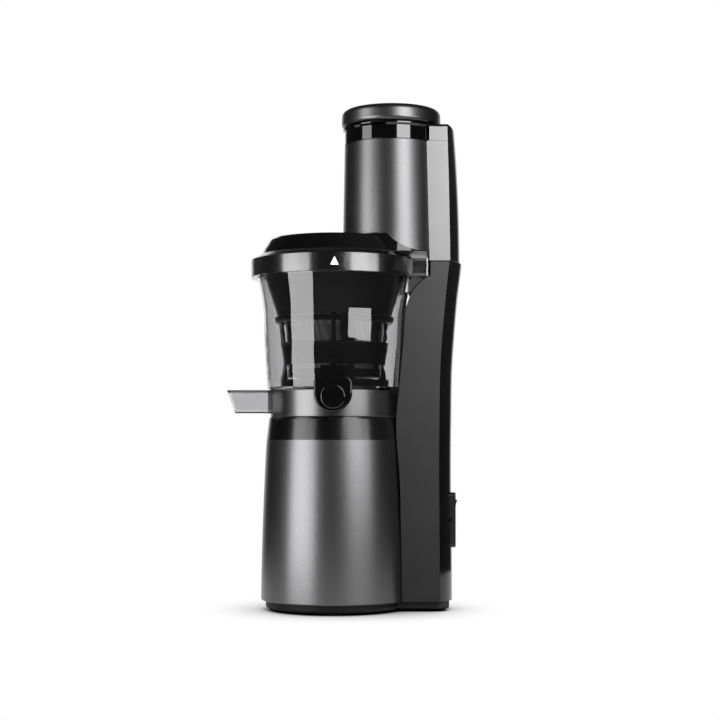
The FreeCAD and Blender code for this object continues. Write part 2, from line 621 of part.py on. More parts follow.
def bowl():
    band = ring(BOWL_BAND_RADIUS - BOWL_WALL, BOWL_BAND_RADIUS, DECK_TOP + BOWL_GAP, BOWL_BAND_TOP)
    floor = disc(BOWL_BAND_RADIUS - 0.5, BOWL_FLOOR_TOP - BOWL_WALL, BOWL_FLOOR_TOP)
    outer = rim_outline(RIM_RADIUS, RIM_TAIL_X, TOWER_HALF_WIDTH, RIM_BOTTOM, RIM_SHOULDER)
    inner = rim_outline(RIM_RADIUS - 2.5, RIM_TAIL_X - 2.5, TOWER_HALF_WIDTH - 2.5,
                        RIM_BOTTOM + 2.5, RIM_SHOULDER - 2.0)
    shoulder = turned([(0, RIM_SHOULDER), (RIM_RADIUS, RIM_SHOULDER),
                       (RIM_MOUTH_RADIUS + 0.6, RIM_TOP), (0, RIM_TOP)])
    under = turned([(0, RIM_SHOULDER - 2.1), (RIM_RADIUS - 2.5, RIM_SHOULDER - 2.1),
                    (RIM_RADIUS - 2.5, RIM_SHOULDER - 1.2), (RIM_MOUTH_RADIUS, RIM_TOP - 2.2),
                    (0, RIM_TOP - 2.2)])
    mouth = disc(RIM_MOUTH_RADIUS, RIM_BOTTOM + 2.5, 400)
    throat = disc(63.4, 290, 400)
    rim = outer.fuse(shoulder).cut(inner).cut(under).cut(mouth).cut(throat)

    channel = pulp_channel(0)
    slanted = polygon([Vector(PULP_TIP_BOTTOM, -40, PULP_BOTTOM), Vector(PULP_TIP_TOP, -40, PULP_TOP),
                       Vector(-130, -40, PULP_TOP), Vector(-130, -40, PULP_BOTTOM)])
    tip = slanted.extrude(Vector(0, 80, 0))
    tube = rod(JUICE_TUBE_RADIUS, Vector(0, -40, JUICE_HEIGHT), Vector(0, JUICE_TUBE_END, JUICE_HEIGHT))
    centre = ring(8.6, 12, 184, BOWL_FLOOR_TOP)
    lugs = []
    for left in (-9.2, 6.2):
        eye = rod(3.4, Vector(left, CAP_PIN_Y, CAP_PIN_Z), Vector(left + 3.0, CAP_PIN_Y, CAP_PIN_Z))
        web = block(left, left + 3.0, CAP_PIN_Y, -58.5, CAP_PIN_Z - 3.4, CAP_PIN_Z + 3.4)
        lugs.append(fuse([eye, web]))
    gusset = block(50, 85, -27.4, 27.4, GUSSET_BOTTOM, RIM_BOTTOM + 0.5)
    gusset = gusset.common(front_cut(-1.2)).cut(disc(63.4, 200, 400)).cut(bowl_core())
    idler_pin = disc(2.5, BOWL_FLOOR_TOP - 0.5, WIPER_GEAR_TOP, WIPER_MODULE * 18, 0)
    body = bowl_wall().multiFuse([band, floor, rim, channel, tube, centre, idler_pin, gusset] + lugs)
    holes = [tip, pulp_channel(2.2), disc(8.6, 160, 210), block(-31.8, -13.6, -8.8, 8.8, 190, 210),
             rod(JUICE_BORE, Vector(0, -42, JUICE_HEIGHT), Vector(0, -90, JUICE_HEIGHT)),
             block(-6, 6, -52, -43, JUICE_HEIGHT, 205), disc(8.0, 170, 180, PULP_PLUG_X, 0),
             rod(CAP_PIN_RADIUS, Vector(-12, CAP_PIN_Y, CAP_PIN_Z), Vector(12, CAP_PIN_Y, CAP_PIN_Z))]
    for hole in holes:
        body = body.cut(hole)
    keep("bowl", body.removeSplitter())

    plug = fuse([disc(8.0, PULP_BOTTOM, PULP_BOTTOM + 2.2, PULP_PLUG_X, 0),
                 disc(9.6, PULP_BOTTOM - 1.6, PULP_BOTTOM, PULP_PLUG_X, 0)])
    keep("pulp_plug", plug)
    gasket = ring(8.05, 8.6, 188, 193)
    keep("bowl_gasket", gasket)
    half = MARK_SIDE / 2
    front = -RIM_RADIUS
    mark = polygon([Vector(MARK_X - half, front - 3, MARK_HEIGHT - MARK_SIDE),
                    Vector(MARK_X + half, front - 3, MARK_HEIGHT - MARK_SIDE),
                    Vector(MARK_X, front - 3, MARK_HEIGHT)]).extrude(Vector(0, 8, 0))
    keep("bowl_mark", mark.common(ring(RIM_RADIUS, RIM_RADIUS + 0.2, 290, 320)))


def juice_cap():
    half = CAP_WIDE / 2
    centre = CAP_TOP - 13.4
    low = Vector(0, CAP_BACK, centre - half)
    corner_l = Vector(-half, CAP_BACK, CAP_TOP)
    corner_r = Vector(half, CAP_BACK, CAP_TOP)
    side_l = Vector(-half, CAP_BACK, centre)
    side_r = Vector(half, CAP_BACK, centre)
    outline = closed_face([arc(side_l, low, side_r), line(side_r, corner_r),
                           line(corner_r, corner_l), line(corner_l, side_l)])
    body = outline.extrude(Vector(0, CAP_FRONT - CAP_BACK, 0))
    tops = [e for e in body.Edges if abs(e.tangentAt(e.FirstParameter).y) > 0.9
            and e.BoundBox.ZMin > CAP_TOP - 1]
    body = body.makeFillet(5.0, tops)
    rims = [e for e in body.Edges if e.BoundBox.YMax < CAP_FRONT + 0.01]
    body = body.makeFillet(1.6, rims)
    boss = rod(CAP_DISC_RADIUS, Vector(0, CAP_FRONT + 1, JUICE_HEIGHT),
               Vector(0, CAP_FRONT - 2.4, JUICE_HEIGHT))
    front_rim = [e for e in boss.Edges if e.BoundBox.YMax < CAP_FRONT - 2.3]
    boss = boss.makeFillet(1.4, front_rim)
    neck = block(-CAP_DISC_RADIUS, CAP_DISC_RADIUS, CAP_FRONT + 1.5, CAP_PIN_Y - 5.0, CAP_TOP - 2, CAP_NECK_TOP)
    crown = [e for e in neck.Edges if e.BoundBox.ZMin > CAP_NECK_TOP - 0.01 and e.BoundBox.YMax < CAP_FRONT + 2]
    neck = neck.makeFillet(3.0, crown)
    knuckle = fuse([rod(3.2, Vector(-5.8, CAP_PIN_Y, CAP_PIN_Z), Vector(5.8, CAP_PIN_Y, CAP_PIN_Z)),
                    block(-5.8, 5.8, CAP_PIN_Y - 6, CAP_PIN_Y, CAP_PIN_Z - 3.2, CAP_PIN_Z + 3.2)])
    recess = rod(JUICE_TUBE_RADIUS + 1.2, Vector(0, CAP_BACK + 1, JUICE_HEIGHT), Vector(0, -80.5, JUICE_HEIGHT))
    bore = rod(CAP_PIN_RADIUS + RUNNING_FIT, Vector(-12, CAP_PIN_Y, CAP_PIN_Z),
               Vector(12, CAP_PIN_Y, CAP_PIN_Z))
    keep("juice_cap", fuse([body, boss, neck, knuckle]).cut(recess).cut(bore))
    keep("cap_seal", rod(10.5, Vector(0, -79.4, JUICE_HEIGHT), Vector(0, -80.5, JUICE_HEIGHT)))
    keep("cap_pin", rod(CAP_PIN_RADIUS, Vector(-9.2, CAP_PIN_Y, CAP_PIN_Z), Vector(9.2, CAP_PIN_Y, CAP_PIN_Z)))


# Strainer, wiper and auger

def mesh_radius(z):
    share = (z - STRAINER_FLOOR) / (STRAINER_TOP - 10 - STRAINER_FLOOR)
    return MESH_BOTTOM_RADIUS + (MESH_TOP_RADIUS - MESH_BOTTOM_RADIUS) * share


def strainer():
    top = turned([(MESH_TOP_RADIUS - 1.2, 263), (MESH_TOP_RADIUS + 1, 263), (46.6, 265), (47.4, STRAINER_TOP),
                  (44.0, STRAINER_TOP), (43.3, 268)])
    floor = ring(12.5, MESH_BOTTOM_RADIUS + 0.6, STRAINER_FLOOR, STRAINER_FLOOR + 2)
    rim = ring(MESH_BOTTOM_RADIUS - 1.2, MESH_BOTTOM_RADIUS + 1.0, STRAINER_FLOOR, STRAINER_FLOOR + 7)
    ribs = []
    for i in range(6):
        rib = polygon([Vector(mesh_radius(212) + 0.2, -2, 212), Vector(mesh_radius(265) + 0.2, -2, 265),
                       Vector(mesh_radius(265) + 1.6, -2, 265), Vector(mesh_radius(212) + 1.6, -2, 212)])
        rib = rib.extrude(Vector(0, 4, 0))
        rib.rotate(Vector(0, 0, 0), UP, 60 * i + 30)
        ribs.append(rib)
    outlet = block(-31.5, -14.0, -8.5, 8.5, 196.5, STRAINER_FLOOR + 2)
    hole = block(-30.0, -15.5, -7.0, 7.0, 190, 215)
    frame = fuse([top, floor, rim, outlet] + ribs).cut(hole)
    sheet = turned([(mesh_radius(214) - 0.4, 214), (mesh_radius(214) + 0.2, 214),
                    (mesh_radius(264) + 0.2, 264), (mesh_radius(264) - 0.4, 264)])
    keep("strainer_frame", frame.cut(sheet))
    keep("strainer_mesh", sheet)


def wiper():
    """A cage round the strainer: ring gear, middle band, top ring and four arms with blades."""
    hole_face = gear_face(RING_TEETH, WIPER_MODULE, WIPER_BOTTOM - 1, 180.0 / RING_TEETH, True)
    gear_ring = disc(WIPER_OUTER, WIPER_BOTTOM, WIPER_GEAR_TOP).cut(hole_face.extrude(Vector(0, 0, 20)))
    low_inside = mesh_radius(WIPER_BAND_LOW) + 2.1
    high_inside = mesh_radius(WIPER_BAND_HIGH) + 2.1
    band = turned([(low_inside, WIPER_BAND_LOW), (low_inside + 1.6, WIPER_BAND_LOW),
                   (high_inside + 2.8, WIPER_BAND_HIGH - 2.0), (high_inside + 3.4, WIPER_BAND_HIGH - 1.2),
                   (high_inside + 3.4, WIPER_BAND_HIGH), (high_inside, WIPER_BAND_HIGH)])
    top_inside = mesh_radius(WIPER_RING_HIGH) + 2.3
    top = turned([(top_inside, WIPER_RING_LOW), (WIPER_RING_RADIUS - 1.5, WIPER_RING_LOW),
                  (WIPER_RING_RADIUS, WIPER_RING_LOW + 1.5), (WIPER_RING_RADIUS, WIPER_RING_HIGH),
                  (top_inside, WIPER_RING_HIGH)])
    arms = []
    blades = []
    for turn in WIPER_ARM_TURNS:
        arm = polygon([Vector(WIPER_OUTER - 2.8, 0, WIPER_GEAR_TOP - 1),
                       Vector(WIPER_OUTER, 0, WIPER_GEAR_TOP - 1),
                       Vector(low_inside + 1.2, 0, WIPER_BAND_LOW + 1),
                       Vector(high_inside + 2.2, 0, WIPER_BAND_HIGH - 0.7),
                       Vector(top_inside + 3.0, 0, WIPER_RING_LOW + 1),
                       Vector(top_inside + 1.0, 0, WIPER_RING_LOW + 1),
                       Vector(high_inside + 0.8, 0, WIPER_BAND_HIGH - 0.7),
                       Vector(low_inside + 0.5, 0, WIPER_BAND_LOW + 1)])
        arm.translate(Vector(0, -6, 0))
        arm = arm.extrude(Vector(0, 12, 0))
        blade = block(42.9, 45.9, -1, 1, WIPER_GEAR_TOP + 0.5, WIPER_BAND_LOW - 1)
        blade = blade.cut(cone(mesh_radius(200) + 2.0, mesh_radius(230) + 2.0, 200, 230))
        blade = blade.cut(arm)
        for part in (arm, blade):
            part.rotate(Vector(0, 0, 0), UP, turn)
        arms.append(arm)
        blades.append(blade)
    keep("wiper_frame", fuse([gear_ring, band, top] + arms))
    keep("wiper_blades", group(blades))
    place = (WIPER_MODULE * (AUGER_PINION_TEETH + IDLER_TEETH) / 2, 0.0)
    phase = mesh_phase(IDLER_TEETH, AUGER_PINION_TEETH, 0.0, 180.0)
    idler = gear(IDLER_TEETH, WIPER_MODULE, WIPER_BOTTOM, WIPER_GEAR_TOP - 0.4, place, phase)
    keep("wiper_gear", idler.cut(disc(2.5 + RUNNING_FIT, 190, 210, place[0], place[1])))


def auger():
    core = turned([(0, 180), (8.0, 180), (8.0, 206.0), (12.0, 206.0), (12.0, 210.6), (36.0, 210.6), (36.5, 214),
                   (26, 219), (20.5, 235), (17, 262), (14, 282), (7, 292), (4, 292.5), (4, 298), (0, 298)])
    pinion = gear(AUGER_PINION_TEETH, WIPER_MODULE, WIPER_BOTTOM, WIPER_GEAR_TOP - 0.4)
    helix = Part.makeHelix(AUGER_PITCH, 66, 20)
    section = Part.makePolygon([Vector(13, 0, -1.9), Vector(AUGER_FLIGHT_RADIUS, 0, -1.3),
                                Vector(AUGER_FLIGHT_RADIUS, 0, 1.3), Vector(13, 0, 1.9), Vector(13, 0, -1.9)])
    flight = Part.Wire(helix).makePipeShell([section], True, True)
    flight.translate(Vector(0, 0, 216))
    flight = flight.common(turned([(0, 212), (37.0, 212), (AUGER_FLIGHT_RADIUS, 216), (39, 258),
                                   (27, 284), (0, 292)]))
    socket = hex_prism(HEX_FLATS + 0.8, 179, HEX_TOP + 2)
    keep("auger", fuse([core, pinion]).cut(socket))
    keep("auger_flight", flight)
    keep("auger_cap", ring(4.0, 6.5, 293.5, 297.5))


# Lid, chute and tail

def swoosh(offset):
    """Space above the black sweep between the lid's top and the tail, in the side view."""
    foot = SLEEVE_FOOT + offset
    start = Vector(46.0, -60, foot)
    edges = [line(Vector(0, -60, foot), start),
             arc(start, Vector(55.5, -60, 325.0 + offset), Vector(73.5, -60, 318.6 + offset)),
             line(Vector(73.5, -60, 318.6 + offset), Vector(98.0, -60, 317.0 + offset)),
             line(Vector(98.0, -60, 317.0 + offset), Vector(98.0, -60, 500)),
             line(Vector(98.0, -60, 500), Vector(0, -60, 500)),
             line(Vector(0, -60, 500), Vector(0, -60, foot))]
    return closed_face(edges).extrude(Vector(0, 120, 0))


def sleeve_cone(shrink, low, high):
    """The chute's tapered outside, less a wall."""
    slope = (SLEEVE_TOP_RADIUS - SLEEVE_FOOT_RADIUS) / (SLEEVE_TOP - SLEEVE_FOOT)
    r0 = SLEEVE_FOOT_RADIUS + slope * (low - SLEEVE_FOOT) - shrink
    r1 = SLEEVE_FOOT_RADIUS + slope * (high - SLEEVE_FOOT) - shrink
    return cone(r0, r1, low, high, CHUTE_X)


def lid_cover():
    top = turned([(62.6, 300.2), (LID_PLUG_RADIUS, 300.2), (LID_PLUG_RADIUS, RIM_TOP - 0.4), (64.6, 319.5),
                  (63.2, 322.5), (58.8, 329.8), (56.6, 331.5), (53.5, LID_TOP), (0, LID_TOP),
                  (0, LID_TOP - PLATE), (55, LID_TOP - PLATE), (60.6, 320), (62.6, 315)])
    collar = disc(46.5, LID_TOP - 1, LID_TOP + 1.2, CHUTE_X).common(disc(58, 300, 350))
    foot = sleeve_cone(0.0, RIM_TOP + 0.5, SLEEVE_FOOT)
    body = fuse([top, collar, foot]).cut(swoosh(0.0))
    passage = sleeve_cone(SLEEVE_FOOT_RADIUS - LINER_RADIUS, 290, SLEEVE_FOOT + 5)
    inside = disc(60.6, 290, LID_TOP - PLATE - 5)
    body = body.cut(passage).cut(inside.common(block(-80, 80, -80, 80, 290, 318)))
    keep("lid_cover", body)
    keep("lid_gasket", ring(62.8, 65.8, RIM_BOTTOM + 2.8, 300.2))


def lid_funnel():
    """The black cone under the lid that leads food into the strainer."""
    inside = FUNNEL_TOP_RADIUS - FUNNEL_WALL
    cone_wall = turned([(FUNNEL_BOTTOM_RADIUS - FUNNEL_WALL, FUNNEL_BOTTOM),
                        (FUNNEL_BOTTOM_RADIUS, FUNNEL_BOTTOM),
                        (FUNNEL_TOP_RADIUS, FUNNEL_TOP - 3.0), (FUNNEL_TOP_RADIUS, FUNNEL_TOP),
                        (inside, FUNNEL_TOP), (inside, FUNNEL_TOP - 3.0)])
    keep("lid_funnel", cone_wall)


def chute():
    sleeve = sleeve_cone(0.0, 315, SLEEVE_TOP).common(swoosh(0.0))
    keep("chute_sleeve", sleeve.cut(sleeve_cone(1.2, 300, SLEEVE_TOP + 5)))

    top_radius = SLEEVE_TOP_RADIUS
    collar = ring(THROAT_RADIUS, top_radius, COLLAR_BOTTOM, COLLAR_TOP, CHUTE_X)
    lip = cone(top_radius, top_radius + 1.6, COLLAR_TOP - 2.6, COLLAR_TOP - 1.0, CHUTE_X)
    lip = lip.fuse(disc(top_radius + 1.6, COLLAR_TOP - 1.0, COLLAR_TOP, CHUTE_X))
    keep("chute_collar", fuse([collar, lip.cut(disc(THROAT_RADIUS, 400, 450, CHUTE_X))]))

    outer = disc(LINER_RADIUS, RIM_TOP + 0.5, COLLAR_BOTTOM, CHUTE_X)
    bore = disc(THROAT_RADIUS, 300, 450, CHUTE_X)
    ramp = polygon([Vector(55, -50, RIM_TOP + 0.5), Vector(95, -50, RIM_TOP + 0.5), Vector(95, -50, 352),
                    Vector(89, -50, 350)]).extrude(Vector(0, 100, 0))
    ramp = ramp.common(disc(LINER_RADIUS - 1, 300, 400, CHUTE_X))
    mouth = disc(60.6, 290, 318)
    keep("chute_liner", fuse([outer.cut(bore), ramp]).cut(mouth))


def tail():
    outline = side_outline(TAIL_BOTTOM, TAIL_TOP, 55, tail_edge)
    heights = stations(TAIL_BOTTOM, TAIL_TOP, 6)
    outer = loft([bowed_section(z, 55, tail_edge(z), tail_bulge(z), TOWER_HALF_WIDTH) for z in heights])
    high = TAIL_TOP + 0.001
    inner = loft([bowed_section(z, 50, tail_edge(z) - 0.6, tail_bulge(z) - WALL + 0.6, TOWER_HALF_WIDTH - WALL)
                  for z in stations(TAIL_BOTTOM + WALL, TAIL_TOP - WALL, 6)])
    corner = 9.0
    back = 125.0
    silhouette = tail_edge(TAIL_TOP) + tail_bulge(TAIL_TOP)
    rounding = closed_face([
        line(Vector(silhouette - corner, -60, high), Vector(back, -60, high)),
        line(Vector(back, -60, high), Vector(back, -60, TAIL_TOP - corner)),
        line(Vector(back, -60, TAIL_TOP - corner), Vector(silhouette + 0.6, -60, TAIL_TOP - corner)),
        arc(Vector(silhouette + 0.6, -60, TAIL_TOP - corner),
            Vector(silhouette - corner * 0.25, -60, TAIL_TOP - corner * 0.25),
            Vector(silhouette - corner, -60, high))]).extrude(Vector(0, 120, 0))
    skin = outer.cut(rounding).cut(inner).cut(sleeve_cone(0.0, 300, 450))
    skin = skin.cut(disc(SLEEVE_TOP_RADIUS + 1.7, COLLAR_BOTTOM, 450, CHUTE_X))
    panel_zone = closed_face(side_outline(TAIL_BOTTOM - 1, PANEL_TOP, 40, tail_edge).Edges)
    panel_zone.translate(Vector(0, -60, 0))
    panel_zone = panel_zone.extrude(Vector(0, 120, 0))
    core = block(0, 130, -TOWER_HALF_WIDTH + 1.6, TOWER_HALF_WIDTH - 1.6, 300, 440)
    panels = skin.common(panel_zone).cut(core)
    seam = block(0, 130, -TOWER_HALF_WIDTH - 1, -TOWER_HALF_WIDTH + 0.6, SLEEVE_TOP - 0.1, COLLAR_BOTTOM)
    other_seam = block(0, 130, TOWER_HALF_WIDTH - 0.6, TOWER_HALF_WIDTH + 1, SLEEVE_TOP - 0.1, COLLAR_BOTTOM)
    back_part = skin.cut(panels)
    keep("tail_panels", panels.cut(seam).cut(other_seam))
    keep("tail_back", back_part)
    keep("interlock_tab", block(95, 99, -4, 4, 304, TAIL_BOTTOM))


def pusher():
    r = FLANGE_RADIUS
    profile = closed_face([
        line(Vector(0, 0, FLANGE_BOTTOM), Vector(r - 3.2, 0, FLANGE_BOTTOM)),
        arc(Vector(r - 3.2, 0, FLANGE_BOTTOM), Vector(r - 0.9, 0, FLANGE_BOTTOM + 1.1),
            Vector(r, 0, FLANGE_BOTTOM + 3.6)),
        line(Vector(r, 0, FLANGE_BOTTOM + 3.6), Vector(r - 0.2, 0, FLANGE_TOP - 5.0)),
        arc(Vector(r - 0.2, 0, FLANGE_TOP - 5.0), Vector(r - 1.8, 0, FLANGE_TOP - 1.5),
            Vector(r - 5.2, 0, FLANGE_TOP)),
        line(Vector(r - 5.2, 0, FLANGE_TOP), Vector(0, 0, FLANGE_TOP)),
        line(Vector(0, 0, FLANGE_TOP), Vector(0, 0, FLANGE_BOTTOM))])
    flange = revolve(profile)
    dish = turned([(0, FLANGE_TOP - 1.2), (30, FLANGE_TOP - 1.2), (33, FLANGE_TOP + 1), (0, FLANGE_TOP + 1)])
    flange = flange.cut(dish)
    flange.translate(Vector(CHUTE_X, 0, 0))
    keep("pusher_flange", flange)
    tube = turned([(0, PUSHER_BOTTOM), (PUSHER_RADIUS - 2, PUSHER_BOTTOM), (PUSHER_RADIUS, PUSHER_BOTTOM + 2),
                   (PUSHER_RADIUS, FLANGE_BOTTOM), (PUSHER_RADIUS - 2.4, FLANGE_BOTTOM),
                   (PUSHER_RADIUS - 2.4, PUSHER_BOTTOM + 4), (0, PUSHER_BOTTOM + 4)])
    tube.translate(Vector(CHUTE_X, 0, 0))
    keep("pusher_tube", tube)


def main():
    drum_shell()
    deck_ring()
    base_plinth()
    tower_housing()
    tower_back_cover()
    tower_cap()
    cord_bush()
    rocker_switch()
    circuit_board()
    gear_train()
    motor_and_gearbox()
    bowl()
    juice_cap()
    strainer()
    wiper()
    auger()
    lid_cover()
    lid_funnel()
    chute()
    tail()
    pusher()
    os.makedirs("parts", exist_ok=True)
    for name, shape in PARTS.items():
        solids = len(shape.Solids)
        print(f"{name:18s} valid={shape.isValid()} solids={solids} volume={shape.Volume / 1000:.2f} cm3")
        shape.exportStep(f"parts/{name}.step")


main()
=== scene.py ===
# %% [markdown]
# A cold press juicer stands on a worktop: a motor drum with a tower behind it, a smoky clear bowl,
# a lid with a wide feed chute and a pusher. The construction comes in as a fixed frame, with every
# moving part on its own body. This script gives each part the finish of the real one, prints the
# marks on its switch, and lights it like a product picture. Shapes could be made here too, but
# then nothing would hold them to the joints, so the frame's own solids are dressed instead.

# %% Load the frame
import math

import bmesh
import bpy
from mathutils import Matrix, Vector


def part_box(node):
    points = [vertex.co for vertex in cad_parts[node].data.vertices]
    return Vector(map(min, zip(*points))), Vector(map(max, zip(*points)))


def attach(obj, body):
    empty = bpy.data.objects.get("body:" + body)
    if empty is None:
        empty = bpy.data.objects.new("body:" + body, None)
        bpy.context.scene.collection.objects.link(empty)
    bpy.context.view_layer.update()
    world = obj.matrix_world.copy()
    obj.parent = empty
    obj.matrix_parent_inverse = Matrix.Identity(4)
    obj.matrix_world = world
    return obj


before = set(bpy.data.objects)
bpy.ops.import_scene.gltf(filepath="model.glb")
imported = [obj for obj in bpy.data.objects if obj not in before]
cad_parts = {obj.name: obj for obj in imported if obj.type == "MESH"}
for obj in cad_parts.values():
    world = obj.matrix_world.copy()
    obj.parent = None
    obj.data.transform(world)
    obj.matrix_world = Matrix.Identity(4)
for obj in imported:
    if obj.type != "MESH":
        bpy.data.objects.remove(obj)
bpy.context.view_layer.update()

MM = 0.001

# %% [markdown]
# Colours are picked as sRGB hex values, the way a paint chart gives them, and Blender's shaders
# want linear light. One function does that turn. A second one adds a shader node with its settings
# and links, so that each material below reads as a short list of what it is made of. Two more hold
# what every moulded or sprayed skin has: a fine grain, and a slow drift between two near shades.
# Both use the piece's own coordinates, so the pattern stays on it when it moves.

# %% Colour, node and pattern helpers
def linear(hex_code):
    """Linear RGBA of an sRGB hex colour."""
    parts = [int(hex_code[i:i + 2], 16) / 255 for i in (1, 3, 5)]
    return [c / 12.92 if c <= 0.04045 else ((c + 0.055) / 1.055) ** 2.4 for c in parts] + [1.0]


def add(tree, kind, settings=None, **inputs):
    """Add a node; an input is a value or a socket to link, by its name or as i0, i1 and so on."""
    node = tree.nodes.new("ShaderNode" + kind)
    for key, value in (settings or {}).items():
        setattr(node, key, value)
    for key, value in inputs.items():
        by_number = key[0] == "i" and key[1:].isdigit()
        slot = node.inputs[int(key[1:]) if by_number else key.replace("_", " ")]
        if isinstance(value, bpy.types.NodeSocket):
            tree.links.new(value, slot)
        else:
            slot.default_value = value
    return node


def surface(name, colour, roughness, metallic=0.0, **more):
    """A Principled material with its output, ready for more nodes."""
    material = bpy.data.materials.new(name)
    material.use_nodes = True
    tree = material.node_tree
    tree.nodes.clear()
    shader = add(tree, "BsdfPrincipled", Base_Color=linear(colour), Roughness=roughness,
                 Metallic=metallic, **more)
    add(tree, "OutputMaterial", Surface=shader.outputs[0])
    return material, tree, shader


def grain(tree, shader, size_mm, depth_mm):
    """Fine moulded or sprayed grain as bump, with grains of this size."""
    where = add(tree, "TexCoord").outputs["Object"]
    noise = add(tree, "TexNoise", Vector=where, Scale=1 / (size_mm * MM), Detail=3.0)
    bump = add(tree, "Bump", Height=noise.outputs["Fac"], Strength=1.0, Distance=depth_mm * MM)
    tree.links.new(bump.outputs[0], shader.inputs["Normal"])


def two_shades(tree, shader, dark, light, size_mm, spread):
    """Let the colour drift between two near shades, in patches of this size."""
    where = add(tree, "TexCoord").outputs["Object"]
    noise = add(tree, "TexNoise", Vector=where, Scale=1 / (size_mm * MM), Detail=2.0)
    shade = add(tree, "ValToRGB", Fac=noise.outputs["Fac"])
    low, high = shade.color_ramp.elements
    low.position = 0.5 - spread
    high.position = 0.5 + spread
    low.color = linear(dark)
    high.color = linear(light)
    tree.links.new(shade.outputs[0], shader.inputs["Base Color"])


print("linear mid grey:", round(linear("#808080")[0], 3))

# %% [markdown]
# The drum and the feed chute are sprayed with a dark metallic lacquer. Metal flakes under a thin
# satin coat give a broad bright stripe from each softbox and go nearly black between them. A plain
# grey plastic shader would stay grey between the stripes, so this one is a rough metal of a dark
# grey colour, with the flakes as a fine noise in its colour.

# %% Gunmetal lacquer
FLAKE_MM = 0.5  # real flakes are finer and wouldn't show


def make_gunmetal():
    """Sprayed metallic lacquer: a dark metal with flakes in its colour."""
    material, tree, shader = surface("gunmetal_lacquer", "#5E5E5F", 0.33, 1.0)
    two_shades(tree, shader, "#5C5C5D", "#6A6A6B", FLAKE_MM, 0.15)
    return material


GUNMETAL = make_gunmetal()
print("made", GUNMETAL.name)

# %% [markdown]
# Most black parts are ABS, injection moulded in a polished tool, so they are smooth and mirror the
# room dimly. The tower's sides come from a textured tool: the same resin, but its fine spark-
# eroded grain scatters the light to a soft charcoal, and the tiny pits keep most of the mirror
# out. Each could have a picture for its skin. Noise at the grain's real size needs no unwrapping,
# so one function makes them all, from two near shades, a roughness and a grain.

# %% Moulded plastics
PATCH_MM = 25


def make_plastic(name, light, dark, roughness, grain_mm, depth_mm, **more):
    """Moulded plastic: slow colour drift between two near shades, and the tool's grain."""
    material, tree, shader = surface(name, light, roughness, **more)
    two_shades(tree, shader, dark, light, PATCH_MM, 0.2)
    grain(tree, shader, grain_mm, depth_mm)
    return material


GLOSS_ABS = make_plastic("gloss_black_abs", "#060606", "#040404", 0.08, 6.0, 0.003)
SATIN_ABS = make_plastic("satin_black_abs", "#080808", "#060606", 0.20, 3.0, 0.003)
CHARCOAL_ABS = make_plastic("textured_charcoal_abs", "#292929", "#262626", 0.50, 0.5, 0.01,
                            Specular_IOR_Level=0.15)
PANEL_ABS = make_plastic("satin_grey_abs", "#5B5B5B", "#585858", 0.42, 0.5, 0.006)
MATTE_ABS = make_plastic("black_moulded_abs", "#0B0B0B", "#080808", 0.30, 0.6, 0.006)
NYLON = make_plastic("natural_nylon", "#CFCBC0", "#C6C2B6", 0.45, 0.8, 0.01)
BOARD = make_plastic("green_laminate", "#1F5B34", "#1A4E2C", 0.40, 1.5, 0.01)
print("plastics:", GLOSS_ABS.name, CHARCOAL_ABS.name, PANEL_ABS.name)

# %% [markdown]
# Seals, feet and wipers are silicone or rubber: dull, slightly mottled, with a soft sheen. The
# metal parts inside are turned or pressed steel. The collar at the top of the chute is vacuum-
# plated dark chrome, which is nearly a mirror. The strainer is steel sheet with etched holes.
# Cutting thousands of holes would cost far more than it shows, so they are rows of dark dots in
# the colour.

# %% Rubber, steel and dark chrome
LINE_STRETCH = 60
HOLE_PITCH_MM = 1.5  # the real holes are finer and wouldn't show
HOLE_HALF = 0.28
SILICONE = make_plastic("grey_silicone", "#2E2E2F", "#29292A", 0.60, 0.7, 0.02)
RUBBER = make_plastic("foot_rubber", "#1C1C1C", "#181818", 0.75, 0.8, 0.03)
PRINT = make_plastic("white_pad_print", "#F4F4F4", "#EFEFEF", 0.50, 0.4, 0.004)


def make_steel(name, colour, roughness, line_mm):
    """Steel with the fine parallel lines of turning or rolling."""
    material, tree, shader = surface(name, colour, roughness, 1.0)
    where = add(tree, "TexCoord").outputs["Object"]
    stretched = add(tree, "Mapping", Vector=where,
                    Scale=(LINE_STRETCH, LINE_STRETCH, 1 / (line_mm * MM)))
    noise = add(tree, "TexNoise", Vector=stretched.outputs[0], Scale=1.0, Detail=2.0)
    rough = add(tree, "MapRange", Value=noise.outputs["Fac"], To_Min=roughness * 0.8,
                To_Max=roughness * 1.2)
    tree.links.new(rough.outputs[0], shader.inputs["Roughness"])
    return material


def make_mesh_steel():
    """Etched strainer sheet: rows of small dark holes."""
    material, tree, shader = surface("etched_stainless", "#C4C4C5", 0.30, 1.0)
    where = add(tree, "TexCoord").outputs["Object"]
    cells = add(tree, "TexVoronoi", {"distance": "CHEBYCHEV"}, Vector=where,
                Scale=1 / (HOLE_PITCH_MM * MM), Randomness=0.0)
    hole = add(tree, "Math", {"operation": "LESS_THAN"}, i0=cells.outputs["Distance"],
               i1=HOLE_HALF)
    tone = add(tree, "MixRGB", Fac=hole.outputs[0], Color1=linear("#C4C4C5"),
               Color2=linear("#161616"))
    tree.links.new(tone.outputs[0], shader.inputs["Base Color"])
    return material


STEEL = make_steel("turned_steel", "#B8B8B8", 0.30, 0.4)
STAINLESS = make_mesh_steel()
DARK_CHROME = make_steel("dark_chrome_plate", "#4A4A4B", 0.07, 0.6)
MAGNET = make_plastic("sintered_magnet", "#3A3A3B", "#333334", 0.50, 0.8, 0.02)
print("metals:", STEEL.name, STAINLESS.name, DARK_CHROME.name)

